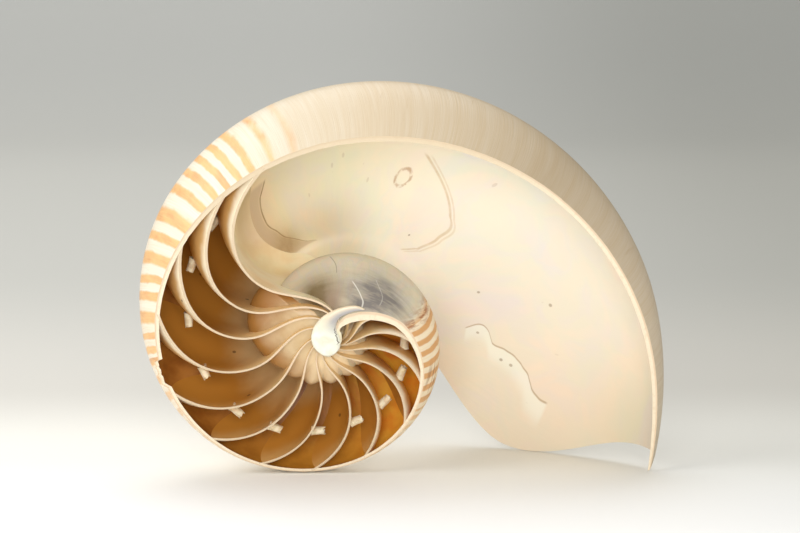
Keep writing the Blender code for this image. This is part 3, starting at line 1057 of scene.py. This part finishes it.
def makeWall():
    rowAngles = evenBend(wall["lipAngle"], wall["end"], wall["rows"])
    rowAngles = np.unique(np.concatenate([rowAngles, np.linspace(*wall["chipAngles"], wall["chipRows"])]))
    outer, outerAngles, outerSides = skinGrid(outerSkin, rowAngles)
    inner, innerAngles, innerSides = skinGrid(innerSkin, rowAngles)
    rows, columns = outer.shape[:2]
    count = rows * columns
    # the sawn strip between the skins, slightly uneven
    inside = wall["stripColumns"] - 1
    share = (np.arange(1, inside + 1) / (inside + 1))[None, :, None]
    strip = outer[:, :1] * (1 - share) + inner[:, :1] * share
    row, column = np.meshgrid(rowAngles, np.arange(inside), indexing="ij")
    rowRate, columnRate = wall["stripRates"]
    rough = wall["stripRough"] * (0.5 + 0.5 * hashNoise(row * rowRate, column * columnRate, 6))
    strip[..., 1] += rough * np.minimum(1, (row - rowAngles[0]) / wall["stripStart"])
    stripAngles = outerAngles[:, :1] * (1 - share[..., 0]) + innerAngles[:, :1] * share[..., 0]
    stripSides = outerSides[:, :1] * (1 - share[..., 0]) + innerSides[:, :1] * share[..., 0]
    points = insideBox(np.concatenate([part.reshape(-1, 3) for part in (outer, inner, strip)]))
    angles = np.concatenate([part.ravel() for part in (outerAngles, innerAngles, stripAngles)])
    sides = np.concatenate([part.ravel() for part in (outerSides, innerSides, stripSides)])
    growthMap = np.stack([angles / 100, sides], axis=-1)
    acrossStrip = np.concatenate([np.zeros(count), np.ones(count), np.tile(share.ravel(), rows)])
    outerFaces = gridFaces(rows, columns)
    innerFaces = gridFaces(rows, columns, start=count, flip=True)
    first = np.arange(rows) * columns
    between = [2 * count + np.arange(rows) * inside + lane for lane in range(inside)]
    lanes = [first] + between + [first + count]
    sawn = [np.stack([a[:-1], a[1:], b[1:], b[:-1]], axis=-1) for a, b in zip(lanes[:-1], lanes[1:])]
    sawn = np.concatenate(sawn)
    caps = [[lane[end] for lane in lanes] for end in (0, -1)]
    caps = [caps[0][::-1], caps[1]]
    last = first + columns - 1
    seam = np.stack([last[:-1], last[:-1] + count, last[1:] + count, last[1:]], axis=-1)
    across = np.arange(columns)
    lip = np.stack([across[:-1], across[:-1] + count, across[1:] + count, across[1:]], axis=-1)
    ending = across + (rows - 1) * columns
    close = np.stack([ending[:-1], ending[1:], ending[1:] + count, ending[:-1] + count], axis=-1)
    faces = np.concatenate([outerFaces, innerFaces, sawn, seam, lip, close]).tolist() + caps
    kinds = [0] * len(outerFaces) + [1] * len(innerFaces) + [2] * len(sawn)
    kinds += [0] * (len(seam) + len(lip) + len(close)) + [2, 2]
    return addPiece("shellWall", points, faces, [outerShell, nacre, sawnEdge], kinds, growthMap, acrossStrip)


shellWall = makeWall()
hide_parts("shell_half")
print("wall made")

# Septa: angle of the deepest point in degrees, and how strongly each is dished
septa = {
    "angles": [140.9, 160.1, 179.2, 201.4, 222.1, 240.8, 262.8]
    + [286.3, 307.4, 329.1, 351.1, 372.6, 399.0, 425.0],
    "dish": [1.25, 1.45, 1.33, 1.15, 0.83, 0.73, 0.79, 0.90, 0.83, 0.73, 0.69, 0.68, 1.20, 1.20],
    "thickness": 0.0008,
    "hubThin": 0.35,
    "hubReach": 0.12 * 0.102,
    "sides": (-0.98, 0.87),
    "tuck": 0.55,
    "columns": 84,
    "rows": 30,
    "inset": 0.0001,
    "rim": (0.100, 4.313, 0.300),
    "hub": (12.96, 0.505, 2.942),
    "bowl": (1.266, 0.45),
    "rise": (1.359, 1.137, 1.030),
    "innerWhorl": 0.318 * 0.80,
    "lastBack": (9.5, 0.53, 0.17),
    "lastAhead": (10.0, 0.68, 0.86),
}


def septumOffset(index, level, depthShare):
    risePower, sideTerm, sidePower = septa["rise"]
    rise = (np.clip(level - coil["widest"], 0, None) / (1 - coil["widest"])) ** risePower
    rise = rise + sideTerm * (np.abs(depthShare) / coil["halfBreadth"]) ** sidePower
    rim = septa["rim"][0] * rise ** septa["rim"][1] / (level + septa["rim"][2])
    hub = septa["hub"][0] * np.clip(septa["hub"][1] - level, 0, None) ** septa["hub"][2]
    bowl = septa["bowl"][0] * np.clip(level - septa["bowl"][1], 0, None) ** 2
    return -septa["dish"][index] * (rim + hub + bowl)


def septumSurface(index):
    base = np.radians(septa["angles"][index])
    radius = growth(base)

    def surface(side, share):
        rho, depth = section(base, side, filled=True)
        rhoNext, depthNext = section(base, side + step, filled=True)
        length = np.maximum(np.hypot(rhoNext - rho, depthNext - depth), 1e-12)
        inset = wallAt(base, side) * septa["tuck"]
        outerRho = (rho - inset * (depthNext - depth) / length) / radius
        outerDepth = (depth + inset * (rhoNext - rho) / length) / radius
        innerRho = rho / radius * septa["innerWhorl"]
        innerDepth = depth / radius * septa["innerWhorl"]
        level = innerRho + (outerRho - innerRho) * share
        depthShare = innerDepth + (outerDepth - innerDepth) * share
        angle = base + septumOffset(index, level, depthShare)
        if index == 0:  # the last septum meets the far flank further back and runs forward beside the whorl
            back, where, reach = septa["lastBack"]
            ahead, low, high = septa["lastAhead"]
            rise = np.clip((side - low) / (high - low), 0, 1)
            shift = back * np.exp(-(((side - where) / reach) ** 2)) - ahead * rise * rise * (3 - 2 * rise)
            angle = angle + np.radians(shift) * share * share
        return place(angle, level * growth(angle), depthShare * growth(angle))

    return surface


def sheetFaces(rows, columns):
    count = rows * columns
    ring = list(range(columns))
    ring += [row * columns + columns - 1 for row in range(1, rows)]
    ring += [(rows - 1) * columns + column for column in range(columns - 2, -1, -1)]
    ring += [row * columns for row in range(rows - 2, 0, -1)]
    ring = np.array(ring)
    after = np.roll(ring, -1)
    border = np.stack([ring, ring + count, after + count, after], axis=-1)
    back = gridFaces(rows, columns, start=count, flip=True)
    return np.concatenate([gridFaces(rows, columns), back, border])


def addSheet(name, top, bottom, along, over, materials, faceMaterial=None, crease=creaseAngle):
    # closed sheet between two grids of points; along and over go into the growth map
    points = np.concatenate([top.reshape(-1, 3), bottom.reshape(-1, 3)])
    growthMap = np.stack([np.tile(along.ravel(), 2), np.tile(over.ravel(), 2)], axis=-1)
    faces = sheetFaces(*top.shape[:2])
    return addPiece(name, points, faces, materials, faceMaterial, growthMap, crease=crease)


def makeSeptum(index):
    surface = septumSurface(index)
    sides = np.linspace(*septa["sides"], septa["columns"])
    shares = 1 - (1 - np.linspace(0, 1, septa["rows"])) ** 1.3
    side, share = np.meshgrid(sides, shares, indexing="ij")
    middle = surface(side, share)
    normals = outward(surface, side, share)
    fromAxis = np.linalg.norm((middle - stance["centre"])[..., [0, 2]], axis=-1)
    thin = np.clip(fromAxis / septa["hubReach"], septa["hubThin"], 1)
    turn = np.radians(septa["angles"][index])
    half = septa["thickness"] / 2 * np.sqrt(growth(turn) / coil["radius"]) * thin
    rows, columns = side.shape
    kinds = None
    if index == 0:  # the side that looks into the body chamber
        facing = np.array([np.sin(turn), 0.0, -np.cos(turn)])
        onTop = float((normals @ facing).mean()) > 0
        quads = (rows - 1) * (columns - 1)
        kinds = np.repeat([2, 0, 0] if onTop else [0, 2, 0], [quads, quads, 2 * (rows + columns) - 4])
    top = middle + normals * half[..., None]
    bottom = middle - normals * half[..., None]
    materials = [septumSkin, sawnEdge, lastSeptum]
    item = addSheet("septum" + str(index + 1), top, bottom, share, side, materials, kinds)
    sawThrough(item, septa["inset"], 1)
    return item


for index in range(len(septa["angles"])):
    makeSeptum(index)
print("septa made")

# Solid young whorls and the callus over the umbilicus
core = {
    "start": 423.0,
    "rows": 180,
    "columns": 60,
    "sink": 0.00025,
    "sinkOver": 8.0,
    "axisDepth": 0.055 * 0.102,
    "inset": 0.00006,
}
plug = {
    "sides": 96,
    "tilt": 0.2,
    "tiltAngle": np.radians(100.0),
    "inset": 0.00008,
    "shift": (-0.0011, 0.0, 0.0014),
    "shiftDepth": 0.006,
    "profile": [
        (0.0, -0.16),
        (0.088, -0.16),
        (0.040, -0.072),
        (0.022, -0.03),
        (0.022, 0.03),
        (0.064, 0.08),
        (0.090, 0.125),
        (0.100, 0.155),
        (0.088, 0.180),
        (0.050, 0.198),
        (0.0, 0.205),
    ],
}


def makeCore():
    rowAngles = np.radians(np.linspace(core["start"], core["start"] + 360, core["rows"] + 1))[:-1]
    sides = np.linspace(-coil["flankShare"], coil["flankShare"], core["columns"])
    angle, side = np.meshgrid(rowAngles, sides, indexing="ij")
    sink = core["sink"] * np.clip(1 - (np.degrees(angle) - core["start"]) / core["sinkOver"], 0, 1)
    grid = shellPoint(angle, side) - outward(shellPoint, angle, side) * sink[..., None]
    rows, columns = grid.shape[:2]
    near = place(0.0, 0.0, -core["axisDepth"])
    far = place(0.0, 0.0, core["axisDepth"])
    points = np.concatenate([grid.reshape(-1, 3), near[None, :], far[None, :]])
    quads = gridFaces(rows + 1, columns) % (rows * columns)
    first = np.arange(rows) * columns
    after = np.roll(first, -1)
    nearFaces = [(rows * columns, a, b) for a, b in zip(first, after)]
    farFaces = [(rows * columns + 1, b + columns - 1, a + columns - 1) for a, b in zip(first, after)]
    growthMap = np.stack([np.degrees(angle).ravel() / 100, side.ravel()], axis=-1)
    growthMap = np.concatenate([growthMap, [[5.0, -0.9], [5.0, 0.9]]])
    faces = [tuple(f) for f in quads] + nearFaces + farFaces
    item = addPiece("youngWhorls", points, faces, [outerShell, sawnEdge], None, growthMap)
    sawThrough(item, core["inset"], 1)
    return item


def makePlug():
    profile = np.array(plug["profile"]) * coil["radius"]
    turns = np.linspace(0, 2 * np.pi, plug["sides"], endpoint=False)
    fine = np.linspace(0, len(profile) - 1, 61)[1:-1]
    radius = np.interp(fine, np.arange(len(profile)), profile[:, 0])
    height = np.interp(fine, np.arange(len(profile)), profile[:, 1])
    turn, rho = np.meshgrid(turns, radius, indexing="xy")
    heights = np.repeat(height[:, None], len(turns), axis=1)
    heights = heights * (1 + plug["tilt"] * np.cos(turn - plug["tiltAngle"]))
    grid = place(turn, rho, heights)
    shift = np.array(plug["shift"])
    grid = grid + shift * np.clip(-heights / plug["shiftDepth"], 0, 1)[..., None]
    ends = [place(0.0, 0.0, profile[0, 1]) + shift, place(0.0, 0.0, profile[-1, 1])]
    points = np.concatenate([grid.reshape(-1, 3), np.array(ends)])
    rows, columns = grid.shape[:2]
    quads = gridFaces(rows, columns, closedColumns=True)
    low = np.arange(columns)
    top = low + (rows - 1) * columns
    bottomFaces = [(rows * columns, b, a) for a, b in zip(low, np.roll(low, -1))]
    topFaces = [(rows * columns + 1, a, b) for a, b in zip(top, np.roll(top, -1))]
    faces = [tuple(f) for f in quads] + bottomFaces + topFaces
    item = addPiece("umbilicalCallus", points, faces, [callus, callus])
    sawThrough(item, plug["inset"], 1)
    return item


# Glossy comma of callus on the sawn face; its borders are in mm right and up from the axis, tail first
comma = {
    "borders": [
        (10.70, 11.44, 9.48, 11.08),
        (8.88, 12.30, 8.42, 10.89),
        (7.14, 12.57, 7.05, 10.60),
        (4.61, 12.26, 5.22, 9.89),
        (2.09, 11.48, 3.39, 8.91),
        (-0.20, 10.41, 2.32, 7.60),
        (-2.49, 8.78, 1.92, 5.95),
        (-4.30, 6.58, 2.16, 3.97),
        (-5.44, 4.11, 2.91, 2.32),
        (-5.70, 1.37, 3.25, 0.66),
        (-4.83, -1.39, 3.00, -1.33),
        (-2.83, -3.36, 1.83, -2.98),
        (-1.08, -4.16, 0.14, -4.10),
    ],
    "rows": 60,
    "columns": 17,
    "height": 0.0011,
    "slope": 0.5,
    "sink": 0.0003,
}


def smoothThrough(values, count):
    # even curve through the values
    at = np.linspace(0, len(values) - 1, count)
    cell = np.minimum(at.astype(int), len(values) - 2)
    share = (at - cell)[:, None]
    padded = np.concatenate([2 * values[:1] - values[1:2], values, 2 * values[-1:] - values[-2:-1]])
    a, b, c, d = (padded[cell + i] for i in range(4))
    square = (2 * a - 5 * b + 4 * c - d) * share**2
    return 0.5 * (2 * b + (c - a) * share + square + (3 * b - a - 3 * c + d) * share**3)


def makeComma():
    borders = smoothThrough(np.array(comma["borders"]) / 1000, comma["rows"])
    share = np.linspace(0, 1, comma["columns"])[None, :]
    right = borders[:, 0:1] * (1 - share) + borders[:, 2:3] * share
    up = borders[:, 1:2] * (1 - share) + borders[:, 3:4] * share
    width = np.hypot(borders[:, 0] - borders[:, 2], borders[:, 1] - borders[:, 3])[:, None]
    dome = np.sqrt(np.clip(1 - (2 * share - 1) ** 2, 0, 1))
    front = np.minimum(comma["height"], comma["slope"] * width / 2) * dome
    tip = stance["tip"]
    rightWay = np.array([1.0, 0.0, 0.0])
    upWay = np.array([0.0, -np.sin(tip), np.cos(tip)])
    frontWay = np.array([0.0, -np.cos(tip), -np.sin(tip)])

    def sheet(height):
        lift = stance["sawDepth"] + height
        spot = stance["centre"] + right[..., None] * rightWay + up[..., None] * upWay
        return spot + lift[..., None] * frontWay

    top = sheet(front)
    bottom = sheet(-comma["sink"] * np.ones_like(front))
    rows, columns = top.shape[:2]
    along = np.repeat(np.linspace(0, 1, rows)[:, None], columns, axis=1)
    over = np.repeat(share, rows, axis=0)
    return addSheet("callusComma", top, bottom, along, over, [glossyCallus], crease=60.0)


# Cream skirts of the septa round the middle, with scalloped outer edges
skirt = {
    "from": 474.0,
    "to": 752.0,
    "rows": 420,
    "columns": 20,
    "inner": 0.2,
    "outer": 1.03,
    "leftOuter": 0.30,
    "scallop": 0.12,
    "gap": 0.0007,
    "nearFlank": 0.313,
    "lift": 0.0001,
    "fall": 0.0046,
    "edgeFall": 0.0016,
    "thickness": 0.0005,
    "hubRadius": 0.016,
    "leftAt": 530.0,
    "leftOver": 42.0,
    "rightFrom": 560.0,
    "rightOver": 50.0,
    "endOver": 14.0,
    "endShare": 0.3,
    "fallPower": 2.2,
    "rimFrom": 0.86,
    "standBack": 0.0003,
    "cutSide": -0.1,
}


def hubAngle(index):
    # where the cut line of a septum crosses the skirts
    levels = np.linspace(0.03, 0.6, 300)
    angles = np.radians(septa["angles"][index]) + septumOffset(index, levels, skirt["cutSide"])
    return float(np.interp(skirt["hubRadius"], levels * growth(angles), np.degrees(angles)))


def makeSkirt():
    hubs = np.array(sorted(hubAngle(index) + 360 for index in range(len(septa["angles"]))))
    turns = np.linspace(skirt["from"], skirt["to"], skirt["rows"])
    cell = np.clip(np.searchsorted(hubs, turns) - 1, 0, len(hubs) - 2)
    between = np.clip((turns - hubs[cell]) / (hubs[cell + 1] - hubs[cell]), 0, 1)
    radius = growth(np.radians(turns))
    left = np.exp(-(((turns - skirt["leftAt"]) / skirt["leftOver"]) ** 2))
    ends = np.clip((turns - skirt["from"]) / skirt["endOver"], 0, 1)
    ends = ends * np.clip((skirt["to"] - turns) / skirt["endOver"], 0, 1)
    right = np.clip((turns - skirt["rightFrom"]) / skirt["rightOver"], 0, 1)
    outer = skirt["outer"] + skirt["leftOuter"] * left + skirt["scallop"] * right * np.sin(np.pi * between)
    outer = skirt["inner"] + (outer - skirt["inner"]) * (skirt["endShare"] + (1 - skirt["endShare"]) * ends)
    # no further out than the cut line of the last septum
    levels = np.linspace(0.03, 0.5, 300)
    lineAngles = np.radians(septa["angles"][0]) + septumOffset(0, levels, skirt["cutSide"])
    border = np.interp(turns - 360, np.degrees(lineAngles), levels * growth(lineAngles), right=1.0)
    outer = np.minimum(outer, (border - skirt["gap"]) / radius)
    share, turn = np.meshgrid(np.linspace(0, 1, skirt["columns"]), np.radians(turns))
    rho = radius[:, None] * (skirt["inner"] + (outer[:, None] - skirt["inner"]) * share)
    sawDepth = -(stance["sawDepth"] + rho * np.sin(turn) * np.sin(stance["lean"])) / np.cos(stance["lean"])
    flank = -skirt["nearFlank"] * radius[:, None] - skirt["lift"]
    rim = np.clip((share - skirt["rimFrom"]) / (1 - skirt["rimFrom"]), 0, 1)
    fall = skirt["fall"] * share ** skirt["fallPower"] + skirt["edgeFall"] * rim**2
    depth = np.maximum(flank, sawDepth + skirt["standBack"]) + fall
    top = place(turn, rho, depth)
    bottom = place(turn, rho, depth + skirt["thickness"])
    over = np.repeat(right[:, None], skirt["columns"], axis=1)
    return addSheet("septalSkirts", top, bottom, share, over, [skirtCream], crease=60.0)


makeCore()
makeSkirt()
makePlug()
makeComma()
print("middle made")

# Necks of the septa: short flared tubes, broken off
necks = {
    "levels": [0.749, 0.756, 0.740, 0.739, 0.740, 0.718, 0.697, 0.695, 0.703, 0.692, 0.676],
    "lengths": [0.0048, 0.0045, 0.0045, 0.0042, 0.0042, 0.0042, 0.0040, 0.0040, 0.0042, 0.0042, 0.0036],
    "radius": 0.0014,
    "bore": 0.62,
    "sides": 28,
    "rows": 14,
    "ragged": 0.12,
    "narrowing": 0.15,
    "flare": 0.12,
    "uneven": 0.06,
}


def makeNeck(index):
    level = necks["levels"][index]
    angle = np.radians(septa["angles"][index])
    angle = angle + septumOffset(index, level, 0.0)
    foot = place(angle, level * growth(angle), 0.0)
    ahead = place(angle + step, level * growth(angle + step), 0.0)
    axis = unit(ahead - foot)
    outwardAxis = unit(place(angle, 0.1, 0.0) - place(angle, 0.0, 0.0))
    across = unit(np.cross(axis, outwardAxis))
    up = np.cross(across, axis)
    turns = np.linspace(0, 2 * np.pi, necks["sides"], endpoint=False)
    share, turn = np.meshgrid(np.linspace(0, 1, necks["rows"]), turns, indexing="ij")
    ragged = 1 + necks["ragged"] * hashNoise(turn * 1.3, index * 3.7, 5) * share
    outerRadius = necks["radius"] * (1 - necks["narrowing"] * share + necks["flare"] * np.exp(-share * 7))
    outerRadius = outerRadius * (1 + necks["uneven"] * hashNoise(turn * 2, share * 4, index))
    innerRadius = necks["radius"] * (necks["bore"] + 0.15 * np.exp(-share * 9) + 0.08 * share)
    heights = necks["lengths"][index] * share * ragged

    def tube(radius):
        spoke = across * np.cos(turn)[..., None] + up * np.sin(turn)[..., None]
        return foot + axis * heights[..., None] + spoke * radius[..., None]

    grid = np.concatenate([tube(outerRadius), tube(innerRadius)[::-1]])
    rows, columns = grid.shape[:2]
    faces = gridFaces(rows, columns, closedColumns=True, flip=True)
    lastRow = (rows - 1) * columns + np.arange(columns)
    firstRow = np.arange(columns)
    join = np.stack([lastRow, firstRow, np.roll(firstRow, -1), np.roll(lastRow, -1)], axis=-1)
    faces = np.concatenate([faces, join])
    return addPiece("neck" + str(index + 1), grid, faces, [neckChalk])


for index in range(len(necks["levels"])):
    makeNeck(index)
print("necks made")

# Floor and backdrop in one sweep
sweep = {
    "near": -1.6,
    "bend": 0.75,
    "radius": 0.5,
    "high": 1.8,
    "half": 2.2,
    # painted shade: a little darker on the floor round the shell, greyer with height up the backdrop
    "paintedShadeTones": [
        (-0.2, (255, 255, 255)),
        (-0.06, (251, 250, 247)),
        (0.02, (242, 240, 232)),
        (0.12, (214, 211, 203)),
        (0.35, (199, 198, 191)),
        (0.6, (199, 198, 191)),
        (1.0, (183, 183, 178)),
        (1.5, (168, 168, 163)),
    ],
    # painted shadow to the right of the shell
    "paintedShadowTone": (222, 222, 220),
    "grainTone": (200, 200, 196),
}


def makePaper():
    # near white on the floor, greyer up the backdrop as painted shade of light falling off, and a painted
    # shadow to the right of the shell
    material, shader = newMaterial("paperSweep", 0.2)
    where = objectPlace()
    split = addNode("ShaderNodeSeparateXYZ", {0: where}).outputs
    along = calc("ADD", split["Y"], split["Z"])
    shade = ramp(along, painted(sweep["paintedShadeTones"]), "EASE")
    # painted shadow on the right of the floor and backdrop
    rightHand = times(fade(split["X"], -0.05, 0.22), fade(along, -0.16, -0.04))
    shade = blend(rightHand, shade, sweep["paintedShadowTone"], "MULTIPLY")
    grain = cloud(where, 400.0, 2.0)
    shade = blend(times(grain, 0.03), shade, sweep["grainTone"], "MULTIPLY")
    link(shade, shader.inputs["Base Color"])
    shader.inputs["Roughness"].default_value = 0.85
    return material


def makeSweep():
    arc = np.linspace(0, np.pi / 2, 24)
    line = [(sweep["near"], 0.0)]
    line += [(sweep["bend"] + sweep["radius"] * np.sin(a), sweep["radius"] * (1 - np.cos(a))) for a in arc]
    line += [(sweep["bend"] + sweep["radius"], sweep["high"])]
    points = [(x, y, z) for y, z in line for x in (-sweep["half"], sweep["half"])]
    faces = [(2 * i, 2 * i + 1, 2 * i + 3, 2 * i + 2) for i in range(len(line) - 1)]
    mesh = bpy.data.meshes.new("studioSweep")
    mesh.from_pydata(points, [], faces)
    mesh.shade_smooth()
    mesh.materials.append(makePaper())
    item = bpy.data.objects.new("studioSweep", mesh)
    bpy.context.scene.collection.objects.link(item)


makeSweep()

# Camera at the photo's angle, soft lights and a pale world
viewpoint = {
    "elevation": np.radians(11.5),
    "distance": 0.918,
    "aimRight": 0.0217,
    "aimUp": 0.02075,
    "lens": 133.9,
}
lamps = {
    "keyLight": ((-0.95, -0.35, 0.85), (0, 0, 0.05), (0.7, 0.7), 5.5, (1.0, 0.99, 0.975)),
    "frontLight": ((-0.1, -1.3, 0.40), (0, 0, 0.06), (0.8, 0.6), 9.0, (1.0, 0.99, 0.975)),
    "topLight": ((-0.1, 0.45, 1.25), (0, 0.1, 0.0), (1.3, 1.0), 8.5, (1.0, 0.99, 0.98)),
}
surroundings = {"tone": (0.95, 0.97, 1.0, 1.0), "strength": 0.58}


def makeCamera():
    elevation = viewpoint["elevation"]
    ahead = np.array([0.0, np.cos(elevation), -np.sin(elevation)])
    up = np.array([0.0, np.sin(elevation), np.cos(elevation)])
    location = stance["centre"] - viewpoint["distance"] * ahead
    aim = stance["centre"] + viewpoint["aimRight"] * np.array([1.0, 0.0, 0.0]) + viewpoint["aimUp"] * up
    data = bpy.data.cameras.new("camera")
    data.lens = viewpoint["lens"]
    data.sensor_width = 36.0
    data.clip_start = 0.01
    data.clip_end = 20.0
    camera = bpy.data.objects.new("camera", data)
    camera.location = location
    camera.rotation_euler = Vector(aim - location).to_track_quat("-Z", "Y").to_euler()
    bpy.context.scene.collection.objects.link(camera)
    bpy.context.scene.camera = camera


def areaLight(name, location, target, size, power, tone):
    data = bpy.data.lights.new(name, "AREA")
    data.shape = "RECTANGLE"
    data.size, data.size_y = size
    data.energy = power
    data.color = tone
    lamp = bpy.data.objects.new(name, data)
    lamp.location = location
    lamp.rotation_euler = (Vector(target) - Vector(location)).to_track_quat("-Z", "Y").to_euler()
    bpy.context.scene.collection.objects.link(lamp)


makeCamera()
for name, settings in lamps.items():
    areaLight(name, *settings)
world = bpy.data.worlds.new("studio")
world.use_nodes = True
background = world.node_tree.nodes["Background"]
background.inputs["Color"].default_value = surroundings["tone"]
background.inputs["Strength"].default_value = surroundings["strength"]
bpy.context.scene.world = world
bpy.context.scene.view_settings.view_transform = "Standard"
print("stage made")
